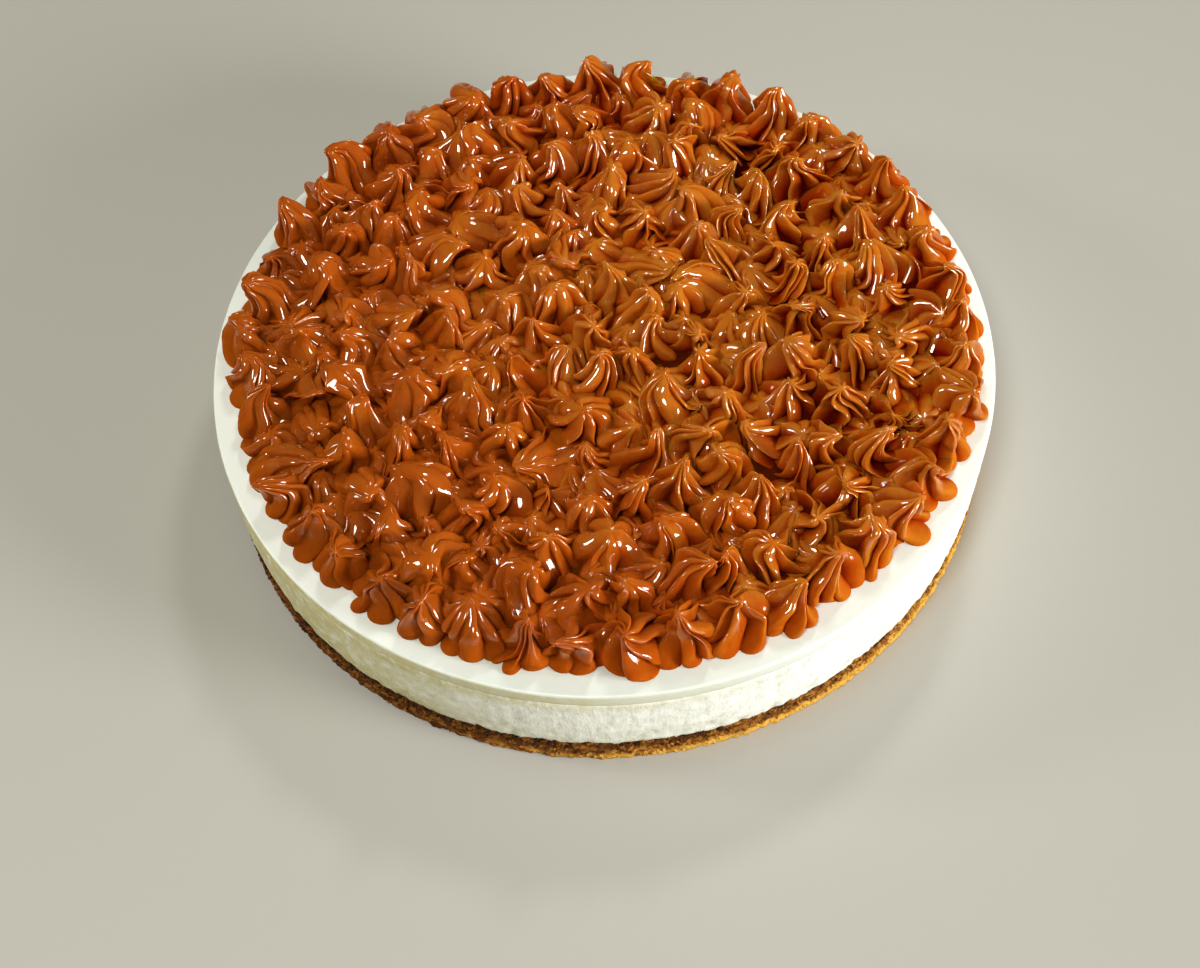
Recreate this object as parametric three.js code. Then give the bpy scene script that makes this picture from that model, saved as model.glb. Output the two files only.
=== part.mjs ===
// A whole round cheesecake: a pressed crumb base, a thick pale cream filling, a thin smooth layer
// over it, and a field of piped caramel stars that covers the top.
// Millimetres, +Z up. The origin is the middle of the flat underside.

import * as THREE from 'three';

// The cake was set in a ring of 24 cm. The clearance keeps stacked layers from touching.
const CAKE_RADIUS = 120;
const LAYER_CLEARANCE = 0.3;

// The crumb base, with a chipped edge that wanders in and out by its roughness.
const BASE_RADIUS = 118.8;
const BASE_HEIGHT = 9.3;
const BASE_ROUGHNESS = 0.55;
const BASE_CHAMFER = 1.2;
const BASE_WAIST = 0.7;
const BASE_SEGMENTS = 120;

// The cream filling, slightly narrower than the smooth layer that caps it.
const CREAM_RADIUS = 119.4;
const CREAM_HEIGHT = 26;
const LAYER_SEGMENTS = 96;

// The smooth top layer, with a rounded upper edge.
const TOP_HEIGHT = 4.8;
const TOP_EDGE_RADIUS = 1.5;
const TOP_EDGE_STEPS = 3;

// The caramel stars stand in rings about the middle of the cake. Pitches are from middle to
// middle, and the wander moves each star off its ring by up to that much.
const RIM_RING_RADIUS = 104.5;
const RING_PITCH = 14.5;
const STAR_PITCH = 14.6;
const RIM_WANDER = 1.1;
const INNER_WANDER = 2.6;
const STAR_SEED = 20;

// One star: how far it pushes its neighbours away, how tall it is pulled, and how far its peak
// leans. The rim stars lean a little outwards.
const STAR_REACH = 7.4;
const REACH_SPREAD = 0.9;
const STAR_HEIGHT = 15;
const HEIGHT_SPREAD = 2;
const LEAN = 2.6;
const RIM_LEAN_OUT = 1;

// The heights where the ribs of two stars meet and where three stars meet, above the cream.
const RIB_FOOT_HEIGHT = 2.4;
const VALLEY_FLOOR_HEIGHT = 1.1;

// A rib runs from the peak through its neck and its belly to its foot, and a furrow runs beside
// it. Each place is a share of the way out from the star's middle, and a share of its height.
const NECK = { out: 0.26, up: 0.72 };
const BELLY = { out: 0.72, up: 0.45 };
const FURROW = { out: 0.5, up: 0.22 };

// Two stars whose shared line is shorter than this have no rib there.
const SHORTEST_RIB_LINE = 2.5;

// The ragged outer outline of the caramel, with some lobes for each rim star.
const OUTLINE_RADIUS = 111;
const LOBES_PER_STAR = 2;
const LOBE_LENGTH = 2.6;
const LOBE_SPREAD = 1.3;
const LOBE_HEIGHT = 1.9;
const NOTCH_DEPTH = 1;
const NOTCH_HEIGHT = 0.9;

// Points closer together than this are one point.
const WELD = 0.001;

const LAYERS_HEIGHT = BASE_HEIGHT + CREAM_HEIGHT + TOP_HEIGHT + 2 * LAYER_CLEARANCE;

// Repeatable random numbers from 0 to 1, from one seed.
function makeRandom(seed) {
  let state = seed;
  return () => {
    state = (state * 1664525 + 1013904223) % 4294967296;
    return state / 4294967296;
  };
}

// A random number about zero, up to the spread either way.
function either(random, spread) {
  return (2 * random() - 1) * spread;
}

// Turns a profile of [radius, height] points about the upright axis into a closed solid.
function turned(profile, segments) {
  const points = profile.map(([radius, height]) => new THREE.Vector2(radius, height));
  const geometry = new THREE.LatheGeometry(points, segments);
  geometry.rotateX(Math.PI / 2);
  return geometry;
}

// The chipped side of pressed crumbs: whole waves round the disc, which drift with height.
function roughen(geometry, fromRadius) {
  const positions = geometry.getAttribute('position');
  for (let i = 0; i < positions.count; i++) {
    const x = positions.getX(i);
    const y = positions.getY(i);
    const radius = Math.hypot(x, y);
    if (radius < fromRadius) continue;
    const angle = Math.atan2(y, x);
    const drift = positions.getZ(i) * 0.9;
    const wave = Math.sin(17 * angle + drift) + Math.sin(31 * angle - drift) + Math.sin(47 * angle);
    const factor = 1 + (BASE_ROUGHNESS * wave) / (3 * radius);
    positions.setXY(i, x * factor, y * factor);
  }
  return geometry;
}

function makeBase() {
  const inset = BASE_RADIUS - BASE_CHAMFER;
  const geometry = turned([
    [0, 0],
    [inset, 0],
    [BASE_RADIUS, BASE_CHAMFER],
    [BASE_RADIUS - BASE_WAIST, BASE_HEIGHT / 2],
    [BASE_RADIUS, BASE_HEIGHT - BASE_CHAMFER],
    [inset, BASE_HEIGHT],
    [0, BASE_HEIGHT],
  ], BASE_SEGMENTS);
  return roughen(geometry, inset / 2);
}

function makeCream() {
  return turned([
    [0, 0],
    [CREAM_RADIUS, 0],
    [CREAM_RADIUS, CREAM_HEIGHT],
    [0, CREAM_HEIGHT],
  ], LAYER_SEGMENTS);
}

function makeTopLayer() {
  const edge = [];
  for (let step = 0; step <= TOP_EDGE_STEPS; step++) {
    const turn = (step / TOP_EDGE_STEPS) * (Math.PI / 2);
    edge.push([
      CAKE_RADIUS - TOP_EDGE_RADIUS * (1 - Math.cos(turn)),
      TOP_HEIGHT - TOP_EDGE_RADIUS * (1 - Math.sin(turn)),
    ]);
  }
  return turned([[0, 0], [CAKE_RADIUS, 0], ...edge, [0, TOP_HEIGHT]], LAYER_SEGMENTS);
}

// One star at a radius and an angle, with its own size, height and lean.
function makeStar(radius, angle, leanOut, random) {
  const leanAngle = random() * 2 * Math.PI;
  const lean = LEAN * random();
  return {
    x: radius * Math.cos(angle),
    y: radius * Math.sin(angle),
    reach: STAR_REACH + either(random, REACH_SPREAD),
    height: STAR_HEIGHT + either(random, HEIGHT_SPREAD),
    leanX: lean * Math.cos(leanAngle) + leanOut * Math.cos(angle),
    leanY: lean * Math.sin(leanAngle) + leanOut * Math.sin(angle),
  };
}

// All stars, ring by ring from the rim to the middle. Each ring starts at a random turn.
function layOutStars(random) {
  const stars = [];
  for (let ringRadius = RIM_RING_RADIUS; ringRadius > 0; ringRadius -= RING_PITCH) {
    const onRim = ringRadius === RIM_RING_RADIUS;
    const count = Math.max(1, Math.round((2 * Math.PI * ringRadius) / STAR_PITCH));
    const wander = onRim ? RIM_WANDER : INNER_WANDER;
    const start = random() * 2 * Math.PI;
    for (let i = 0; i < count; i++) {
      const radius = ringRadius + either(random, wander);
      const angle = start + (i / count) * 2 * Math.PI + either(random, wander) / ringRadius;
      stars.push(makeStar(radius, angle, onRim ? RIM_LEAN_OUT : 0, random));
    }
  }
  return stars;
}

// Imaginary neighbours outside the rim, which give the outermost stars an outer edge.
function outerNeighbours() {
  const count = LOBES_PER_STAR * Math.round((2 * Math.PI * RIM_RING_RADIUS) / STAR_PITCH);
  const radius = 2 * OUTLINE_RADIUS - RIM_RING_RADIUS;
  return Array.from({ length: count }, (_, i) => {
    const angle = (i / count) * 2 * Math.PI;
    return { x: radius * Math.cos(angle), y: radius * Math.sin(angle), reach: STAR_REACH, outside: true };
  });
}

// Cuts a cell along the line where two stars push against each other. Each corner also keeps
// the neighbour that lies across the side that starts there.
function clipCell(cell, star, neighbour) {
  const apart = Math.hypot(neighbour.x - star.x, neighbour.y - star.y);
  const towardX = (neighbour.x - star.x) / apart;
  const towardY = (neighbour.y - star.y) / apart;
  const limit = (apart ** 2 + star.reach ** 2 - neighbour.reach ** 2) / (2 * apart);
  const beyond = (point) => (point.x - star.x) * towardX + (point.y - star.y) * towardY - limit;
  const kept = [];
  cell.forEach((corner, i) => {
    const next = cell[(i + 1) % cell.length];
    const here = beyond(corner);
    const there = beyond(next);
    if (here <= 0) kept.push(corner);
    if (here <= 0 === there <= 0) return;
    const share = here / (here - there);
    kept.push({
      x: corner.x + (next.x - corner.x) * share,
      y: corner.y + (next.y - corner.y) * share,
      across: here <= 0 ? neighbour : corner.across,
    });
  });
  return kept;
}

// The ground that one star covers: a convex cell, counter-clockwise seen from above.
function cellOf(star, neighbours) {
  const far = 2 * STAR_PITCH;
  let cell = [[-far, -far], [far, -far], [far, far], [-far, far]].map(([dx, dy]) => {
    return { x: star.x + dx, y: star.y + dy };
  });
  for (const other of neighbours) {
    if (other !== star) cell = clipCell(cell, star, other);
  }
  return cell;
}

// Collects triangles over welded points, so that neighbouring stars share theirs exactly.
class Shell {
  constructor() {
    this.positions = [];
    this.indices = [];
    this.numbers = new Map();
  }

  point(x, y, z) {
    const key = [x, y, z].map((value) => Math.round(value / WELD)).join();
    if (!this.numbers.has(key)) {
      this.numbers.set(key, this.positions.length / 3);
      this.positions.push(x, y, z);
    }
    return this.numbers.get(key);
  }

  fan(first, ...rest) {
    for (let i = 0; i + 1 < rest.length; i++) this.indices.push(first, rest[i], rest[i + 1]);
  }

  geometry() {
    const geometry = new THREE.BufferGeometry();
    geometry.setAttribute('position', new THREE.Float32BufferAttribute(this.positions, 3));
    geometry.setIndex(this.indices);
    geometry.computeVertexNormals();
    return geometry;
  }
}

// Moves a point on the caramel's outline outwards, or inwards by a negative length.
function pushOut(point, length) {
  const factor = 1 + length / Math.hypot(point.x, point.y);
  return { x: point.x * factor, y: point.y * factor };
}

// The corner where three stars meet, or the notch between two lobes of the outline.
function cornerPlace(corner, onOutline) {
  if (!onOutline) return { ...corner, z: VALLEY_FLOOR_HEIGHT };
  return { ...pushOut(corner, -NOTCH_DEPTH), z: NOTCH_HEIGHT };
}

// The foot of a rib, halfway along a side of the cell, or the end of a lobe of the outline.
function ribFootPlace(corner, next, onOutline, random) {
  const middle = { x: (corner.x + next.x) / 2, y: (corner.y + next.y) / 2 };
  if (!onOutline) return { ...middle, z: RIB_FOOT_HEIGHT };
  return { ...pushOut(middle, LOBE_LENGTH + either(random, LOBE_SPREAD)), z: LOBE_HEIGHT };
}

// Adds one side of the outline: its upright wall, and its piece of the flat underside.
function addOutlineSide(shell, from, to) {
  const upper = [from, to].map((place) => shell.point(place.x, place.y, place.z));
  const lower = [from, to].map((place) => shell.point(place.x, place.y, 0));
  shell.fan(lower[0], lower[1], upper[1], upper[0]);
  shell.fan(shell.point(0, 0, 0), lower[1], lower[0]);
}

// Adds one star: a rib to the middle of every side of its cell, and a furrow to every corner.
function addStar(shell, star, cell, random) {
  const place = (target, { out, up }) => {
    const lean = up * up;
    return shell.point(
      star.x + star.leanX * lean + (target.x - star.x) * out,
      star.y + star.leanY * lean + (target.y - star.y) * out,
      star.height * up,
    );
  };
  const peak = shell.point(star.x + star.leanX, star.y + star.leanY, star.height);
  const atOutline = cell.map((corner) => corner.across.outside === true);
  const corners = cell.map((corner, i) => {
    return cornerPlace(corner, atOutline[i] || atOutline.at(i - 1));
  });
  const cornerPoints = corners.map((corner) => shell.point(corner.x, corner.y, corner.z));
  const furrows = corners.map((corner) => place(corner, FURROW));

  cell.forEach((corner, i) => {
    const j = (i + 1) % cell.length;
    const next = cell[j];
    if (Math.hypot(next.x - corner.x, next.y - corner.y) < SHORTEST_RIB_LINE) {
      shell.fan(peak, furrows[i], furrows[j]);
      shell.fan(furrows[i], cornerPoints[i], cornerPoints[j], furrows[j]);
      if (atOutline[i]) addOutlineSide(shell, corners[i], corners[j]);
      return;
    }
    const foot = ribFootPlace(corner, next, atOutline[i], random);
    const footPoint = shell.point(foot.x, foot.y, foot.z);
    const neck = place(foot, NECK);
    const belly = place(foot, BELLY);
    shell.fan(furrows[i], neck, peak);
    shell.fan(belly, neck, furrows[i], cornerPoints[i], footPoint);
    shell.fan(furrows[j], peak, neck);
    shell.fan(belly, footPoint, cornerPoints[j], furrows[j], neck);
    if (atOutline[i]) {
      addOutlineSide(shell, corners[i], foot);
      addOutlineSide(shell, foot, corners[j]);
    }
  });
}

function makeStars() {
  const random = makeRandom(STAR_SEED);
  const stars = layOutStars(random);
  const neighbours = [...stars, ...outerNeighbours()];
  const shell = new Shell();
  for (const star of stars) addStar(shell, star, cellOf(star, neighbours), random);
  return shell.geometry();
}

const crumb = new THREE.MeshStandardMaterial({ color: '#6b3d18', roughness: 0.95, metalness: 0 });
const cream = new THREE.MeshStandardMaterial({ color: '#e6e5d9', roughness: 0.6, metalness: 0 });
const smoothCream = new THREE.MeshStandardMaterial({ color: '#f3f2e6', roughness: 0.4, metalness: 0 });
const caramel = new THREE.MeshStandardMaterial({ color: '#a85418', roughness: 0.2, metalness: 0 });

// Puts one named piece at a height above the table.
function piece(name, geometry, material, height) {
  const mesh = new THREE.Mesh(geometry, material);
  mesh.name = name;
  mesh.position.z = height;
  return mesh;
}

const creamFloor = BASE_HEIGHT + LAYER_CLEARANCE;
const topFloor = creamFloor + CREAM_HEIGHT + LAYER_CLEARANCE;

const group = new THREE.Group();
group.add(piece('biscuit_base', makeBase(), crumb, 0));
group.add(piece('cream_filling', makeCream(), cream, creamFloor));
group.add(piece('smooth_top_layer', makeTopLayer(), smoothCream, topFloor));
group.add(piece('caramel_stars', makeStars(), caramel, LAYERS_HEIGHT + LAYER_CLEARANCE));

export default group;
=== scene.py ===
# %% [markdown]
# # A whole cheesecake under piped caramel
#
# This lesson dresses a packed cake model. The cake has four layers, from the bottom up: a base
# of pressed biscuit crumbs, a thick set cream, a thin smooth layer poured over it, and a field
# of caramel stars from a piping bag. Each layer gets its own pass, and the stars get most of
# the work, because they cover the whole top and nothing else on the cake has so much shape.
#
# Everything is in metres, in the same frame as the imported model. Sizes are written in
# millimetres and multiplied by `MM`, because a cook's tools are measured that way.

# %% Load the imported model
import math

import bpy
import numpy as np
from mathutils import Matrix, Vector


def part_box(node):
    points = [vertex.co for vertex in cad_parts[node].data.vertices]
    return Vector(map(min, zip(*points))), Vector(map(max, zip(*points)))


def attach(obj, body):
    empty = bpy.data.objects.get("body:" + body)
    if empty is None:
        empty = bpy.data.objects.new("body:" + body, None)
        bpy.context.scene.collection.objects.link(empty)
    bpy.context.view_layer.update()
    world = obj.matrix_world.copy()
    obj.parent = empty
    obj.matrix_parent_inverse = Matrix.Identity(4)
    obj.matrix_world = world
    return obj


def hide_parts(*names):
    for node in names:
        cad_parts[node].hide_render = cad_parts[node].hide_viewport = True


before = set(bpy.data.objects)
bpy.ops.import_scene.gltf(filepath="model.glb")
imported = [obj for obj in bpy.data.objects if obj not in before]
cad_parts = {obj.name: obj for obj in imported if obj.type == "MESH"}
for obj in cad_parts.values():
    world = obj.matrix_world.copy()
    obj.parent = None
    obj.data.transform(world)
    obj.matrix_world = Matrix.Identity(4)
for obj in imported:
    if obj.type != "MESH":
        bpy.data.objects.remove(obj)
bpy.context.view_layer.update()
MM = 0.001
scene = bpy.context.scene
print("layers:", sorted(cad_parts))

# %% [markdown]
# ## A small language for nodes
#
# Both materials and Geometry Nodes are graphs, and a graph that is written call by call hides
# the formula in it. So one class wraps an output socket, and Python's own operators add the
# Math or Vector Math node between sockets. `1 - mask` and `height * up` then read as they would
# on paper. Every other kind of node comes from one method, `node`, which takes the node's type,
# its settings and what goes into its sockets.

# %% The wrapped socket
class Wire:
    """An output of a node. Operators on it add Math nodes, or Vector Math nodes for vectors."""

    def __init__(self, tree, socket):
        self.tree = tree
        self.socket = socket

    def is_vector(self):
        return self.socket.type in ("VECTOR", "RGBA")

    def beside(self, output):
        """Another output of the same node."""
        return Wire(self.tree, find_socket(self.socket.node.outputs, output))

    def __add__(self, other):
        return self.tree.math("ADD", self, other)

    def __radd__(self, other):
        return self.tree.math("ADD", other, self)

    def __sub__(self, other):
        return self.tree.math("SUBTRACT", self, other)

    def __rsub__(self, other):
        return self.tree.math("SUBTRACT", other, self)

    def __mul__(self, other):
        return self.tree.math("MULTIPLY", self, other)

    def __rmul__(self, other):
        return self.tree.math("MULTIPLY", other, self)

    def __truediv__(self, other):
        return self.tree.math("DIVIDE", self, other)

    def __rtruediv__(self, other):
        return self.tree.math("DIVIDE", other, self)

    def __pow__(self, other):
        return self.tree.math("POWER", self, other)

    def __mod__(self, other):
        return self.tree.math("FLOORED_MODULO", self, other)


def find_socket(sockets, key):
    """A socket by its place, or the one in use among those that share a name."""
    if isinstance(key, int):
        return sockets[key]
    return next(socket for socket in sockets if socket.name == key and socket.enabled)


# %% The node tree
class Tree:
    """Adds nodes to a node tree."""

    def __init__(self, node_tree):
        self.node_tree = node_tree

    def node(self, kind, settings=None, inputs=None, output=0):
        """Adds a node, sets its settings, then fills its sockets. Returns one of its outputs."""
        node = self.node_tree.nodes.new(kind)
        for key, value in (settings or {}).items():
            if key == "stops":
                set_stops(node.color_ramp, value)
            elif key == "curve":
                set_curve(node.mapping, value)
            else:
                setattr(node, key, value)
        for key, value in (inputs or {}).items():
            self.plug(value, find_socket(node.inputs, key))
        return Wire(self, find_socket(node.outputs, output)) if node.outputs else node

    def plug(self, value, socket):
        if isinstance(value, Wire):
            self.node_tree.links.new(value.socket, socket)
        else:
            socket.default_value = value

    def math(self, operation, *values):
        """A Math node, or a Vector Math node if any of the values is a vector or a colour."""
        vector = any(isinstance(v, tuple) or isinstance(v, Wire) and v.is_vector() for v in values)
        if not vector:
            return self.node("ShaderNodeMath", {"operation": operation}, dict(enumerate(values)))
        full = [(v, v, v) if isinstance(v, (int, float)) else v for v in values]
        return self.node("ShaderNodeVectorMath", {"operation": operation}, dict(enumerate(full)))

    def clamp(self, value, low=0.0, high=1.0):
        return self.node("ShaderNodeClamp", {}, {"Value": value, "Min": low, "Max": high})

    def step(self, value, start, end):
        """0 where the value is at the start, 1 where it is at the end, and smooth between."""
        inputs = {"Value": value, "From Min": start, "From Max": end}
        return self.node("ShaderNodeMapRange", {"interpolation_type": "SMOOTHSTEP"}, inputs)

    def blend(self, share, first, second):
        """The first colour where the share is 0, and the second one where it is 1."""
        return self.node("ShaderNodeMix", {"data_type": "RGBA"},
                         {"Factor": share, "A": first, "B": second}, "Result")

    def noise(self, place, size, detail=2.0, roughness=0.5):
        """Soft random numbers about 0.5, whose blobs are as large as the size, in metres."""
        return self.node("ShaderNodeTexNoise", {}, {
            "Vector": place, "Scale": 1 / size, "Detail": detail, "Roughness": roughness})

    def ramp(self, share, stops):
        """A colour that runs through the stops as the share goes from 0 to 1."""
        return self.node("ShaderNodeValToRGB", {"stops": stops}, {"Fac": share}, "Color")

    def bump(self, height, strength, distance):
        """A normal that shows a relief. The distance is in millimetres."""
        return self.node("ShaderNodeBump", {}, {
            "Height": height, "Strength": strength, "Distance": distance * MM}, "Normal")

    def height_in(self, place):
        """How far above the floor a place is."""
        return self.node("ShaderNodeSeparateXYZ", {}, {"Vector": place}, "Z")

    def xyz(self, x, y, z):
        return self.node("ShaderNodeCombineXYZ", {}, {"X": x, "Y": y, "Z": z})

    def outward(self, place):
        """The level direction that leads away from the cake's middle."""
        return self.math("NORMALIZE", place * (1.0, 1.0, 0.0), (0.0, 0.0, 0.0))


def set_stops(ramp, stops):
    while len(ramp.elements) < len(stops):
        ramp.elements.new(1.0)
    for element, (position, colour) in zip(ramp.elements, stops):
        element.position = position
        element.color = (*colour, 1.0)


def set_curve(mapping, points):
    curve = mapping.curves[0]
    while len(curve.points) < len(points):
        curve.points.new(1.0, 1.0)
    for point, place in zip(curve.points, points):
        point.location = place
    mapping.update()


# %% [markdown]
# ## Camera, floor and light
#
# The camera stands in front of the cake and looks down on it at about 57 degrees, slightly
# rolled, as a hand-held photo is. Its place was worked out from the round edges of the cake.
#
# The light is soft and plain. Caramel is a mirror with a brown body under it, so what its
# highlights show is the lamp itself. The key lamp stands low at the right and gives the crests
# their white sparks. The front lamp lights what faces the camera, and two small lamps give the
# far sides of the stars some sparks of their own. A weak, warm world light keeps the furrows
# from going black, and a little extra contrast in the view keeps them deep.

# %% Camera
CAMERA_PLACE = (-3.37 * MM, -334.18 * MM, 470.32 * MM)
CAMERA_YAW = math.radians(0.064)
CAMERA_DOWN = math.radians(56.547)
CAMERA_ROLL = math.radians(-3.238)
LENS = 52.8
SENSOR = 36.0
NEAREST_SEEN = 10 * MM


def make_camera():
    data = bpy.data.cameras.new("camera")
    data.lens = LENS
    data.sensor_width = SENSOR
    data.clip_start = NEAREST_SEEN
    camera = bpy.data.objects.new("camera", data)
    scene.collection.objects.link(camera)
    level = math.cos(CAMERA_DOWN)
    ahead = Vector((math.sin(CAMERA_YAW) * level, math.cos(CAMERA_YAW) * level,
                    -math.sin(CAMERA_DOWN)))
    right = Vector((math.cos(CAMERA_YAW), -math.sin(CAMERA_YAW), 0))
    above = right.cross(ahead)
    turned_right = right * math.cos(CAMERA_ROLL) + above * math.sin(CAMERA_ROLL)
    turned_above = above * math.cos(CAMERA_ROLL) - right * math.sin(CAMERA_ROLL)
    matrix = Matrix((turned_right, turned_above, -ahead)).transposed().to_4x4()
    matrix.translation = Vector(CAMERA_PLACE)
    camera.matrix_world = matrix
    return camera


scene.camera = make_camera()
print("camera looks down by", round(math.degrees(CAMERA_DOWN)), "degrees")

# %% Lights and world
LOOK_AT = Vector((0, 0, 40 * MM))
# Each lamp's name, its place and width in metres, its power in watts, and its colour.
LAMPS = [
    ("key lamp", (1.42, -0.70, 0.48), 0.62, 24.0, (1.0, 1.0, 0.99)),
    ("front lamp", (-0.25, -0.58, 1.18), 0.36, 8.4, (0.98, 1.0, 0.97)),
    ("left lamp", (-0.85, 0.10, 0.50), 0.18, 1.8, (1.0, 1.0, 0.97)),
    ("back lamp", (0.25, 0.60, 0.80), 0.18, 2.0, (1.0, 1.0, 0.97)),
]
WORLD_COLOUR = (1.0, 0.84, 0.44, 1.0)
WORLD_STRENGTH = 0.15


def add_lamp(name, place, width, power, colour):
    data = bpy.data.lights.new(name, "AREA")
    data.shape = "DISK"
    data.size = width
    data.energy = power
    data.color = colour
    lamp = bpy.data.objects.new(name, data)
    lamp.location = place
    lamp.rotation_mode = "QUATERNION"
    lamp.rotation_quaternion = (LOOK_AT - Vector(place)).to_track_quat("-Z", "Y")
    scene.collection.objects.link(lamp)


for lamp in LAMPS:
    add_lamp(*lamp)
world = bpy.data.worlds.new("even light")
scene.world = world
world.use_nodes = True
background = world.node_tree.nodes["Background"]
background.inputs["Color"].default_value = WORLD_COLOUR
background.inputs["Strength"].default_value = WORLD_STRENGTH
scene.view_settings.view_transform = "Standard"
scene.view_settings.look = "Medium High Contrast"


# %% New materials and meshes
def new_material(name):
    """A material and the tree of its nodes, with only its output in it."""
    material = bpy.data.materials.new(name)
    material.use_nodes = True
    material.node_tree.nodes.clear()
    return material, Tree(material.node_tree)


def finish_material(tree, varying, settings=None):
    """Ends a material in one Principled shader. The settings are the same all over."""
    inputs = {**(settings or {}), **varying}
    surface = tree.node("ShaderNodeBsdfPrincipled", {}, inputs)
    tree.node("ShaderNodeOutputMaterial", {}, {"Surface": surface})


def new_object(name, points, faces, material=None):
    """A plain mesh object in the model's frame, from points in metres."""
    mesh = bpy.data.meshes.new(name)
    mesh.from_pydata([tuple(point) for point in points], [], faces)
    mesh.polygons.foreach_set("use_smooth", [True] * len(mesh.polygons))
    if material:
        mesh.materials.append(material)
    mesh.update()
    item = bpy.data.objects.new(name, mesh)
    scene.collection.objects.link(item)
    return item


# %% Floor
FLOOR_WIDTH = 4.0
FLOOR_CLOUDS = 0.4
FLOOR_DARK = (0.42, 0.41, 0.38, 1)
FLOOR_LIGHT = (0.46, 0.45, 0.42, 1)
FLOOR_ROUGHNESS = 0.55


def make_floor():
    material, tree = new_material("pale floor")
    place = tree.node("ShaderNodeTexCoord", output="Object")
    colour = tree.blend(tree.noise(place, FLOOR_CLOUDS), FLOOR_DARK, FLOOR_LIGHT)
    finish_material(tree, {"Base Color": colour}, {"Roughness": FLOOR_ROUGHNESS})
    half = FLOOR_WIDTH / 2
    corners = [(-half, -half, 0), (half, -half, 0), (half, half, 0), (-half, half, 0)]
    return new_object("floor", corners, [(0, 1, 2, 3)], material)


make_floor()
print("floor is", FLOOR_WIDTH, "m wide")

# %% [markdown]
# ## Geometry Nodes from Python
#
# Geometry Nodes make whatever repeats by a rule. Each tree below is built once, with its sizes
# as named inputs. `grow` puts the tree on a carrier mesh as a modifier, sets the inputs by
# their identifiers, evaluates it, and keeps the result as a plain mesh, so that no modifier is
# left on the finished piece.

# %% Geometry tree and grow
SOCKET_TYPES = {int: "NodeSocketInt", float: "NodeSocketFloat"}


class GeometryTree(Tree):
    """A Geometry Nodes tree with named sizes. Its carrier's mesh comes in as `carrier`."""

    def __init__(self, name, sizes):
        super().__init__(bpy.data.node_groups.new(name, "GeometryNodeTree"))
        interface = self.node_tree.interface
        interface.new_socket("Geometry", in_out="INPUT", socket_type="NodeSocketGeometry")
        interface.new_socket("Geometry", in_out="OUTPUT", socket_type="NodeSocketGeometry")
        for label, value in sizes.items():
            socket = interface.new_socket(
                label, in_out="INPUT", socket_type=SOCKET_TYPES[type(value)])
            socket.default_value = value
        source = self.node_tree.nodes.new("NodeGroupInput")
        self.carrier = Wire(self, source.outputs["Geometry"])
        self.size = {label: Wire(self, source.outputs[label]) for label in sizes}

    def position(self):
        return self.node("GeometryNodeInputPosition")

    def attribute(self, name, data_type="FLOAT"):
        return self.node("GeometryNodeInputNamedAttribute", {"data_type": data_type},
                         {"Name": name}, "Attribute")

    def store(self, geometry, name, value, data_type="FLOAT"):
        return self.node("GeometryNodeStoreNamedAttribute", {"data_type": data_type},
                         {"Geometry": geometry, "Name": name, "Value": value})

    def random(self, low, high, number, seed):
        """A random number that is the same wherever the whole number and the seed are."""
        return self.node("FunctionNodeRandomValue", {"data_type": "FLOAT"},
                         {"Min": low, "Max": high, "ID": number, "Seed": seed}, "Value")

    def finish(self, geometry, material):
        dressed = self.node("GeometryNodeSetMaterial", {},
                            {"Geometry": geometry, "Material": material})
        self.node("NodeGroupOutput", {}, {"Geometry": dressed})


def grow(name, carrier, tree, sizes):
    """Runs a geometry tree on the carrier, and returns the result as a plain mesh object."""
    modifier = carrier.modifiers.new("grow", "NODES")
    modifier.node_group = tree.node_tree
    for item in tree.node_tree.interface.items_tree:
        if item.in_out == "INPUT" and item.name in sizes:
            modifier[item.identifier] = sizes[item.name]
    bpy.context.view_layer.update()
    evaluated = carrier.evaluated_get(bpy.context.evaluated_depsgraph_get())
    mesh = bpy.data.meshes.new_from_object(evaluated)
    mesh.name = name
    bpy.data.objects.remove(carrier)
    piece = bpy.data.objects.new(name, mesh)
    scene.collection.objects.link(piece)
    mesh.calc_loop_triangles()
    print(name, "has", len(mesh.loop_triangles), "triangles")
    return piece


# %% [markdown]
# ## Round walls
#
# The three lower layers are discs whose side is what shows, so each is turned from a profile,
# as on a potter's wheel. The profile runs from the axis underside, out and up, and back to the
# axis on top. It is split into short steps first, since relief needs points to move. Each
# point also gets a `side` attribute, which is 1 on the side wall and 0 on the flat faces, and
# the relief trees use it to leave the flat faces flat.

# %% Turn a profile
def split_profile(profile, step):
    """The same outline with a point at least every step, in millimetres."""
    fine = [profile[0]]
    for (r0, z0), (r1, z1) in zip(profile, profile[1:]):
        pieces = max(1, math.ceil(math.hypot(r1 - r0, z1 - z0) / step))
        fine += [(r0 + (r1 - r0) * k / pieces, z0 + (z1 - z0) * k / pieces)
                 for k in range(1, pieces + 1)]
    return fine


def split_side(profile, step):
    """A turned profile with its side split. Its two flat runs to the axis stay whole."""
    return [profile[0], *split_profile(profile[1:-1], step), profile[-1]]


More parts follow.
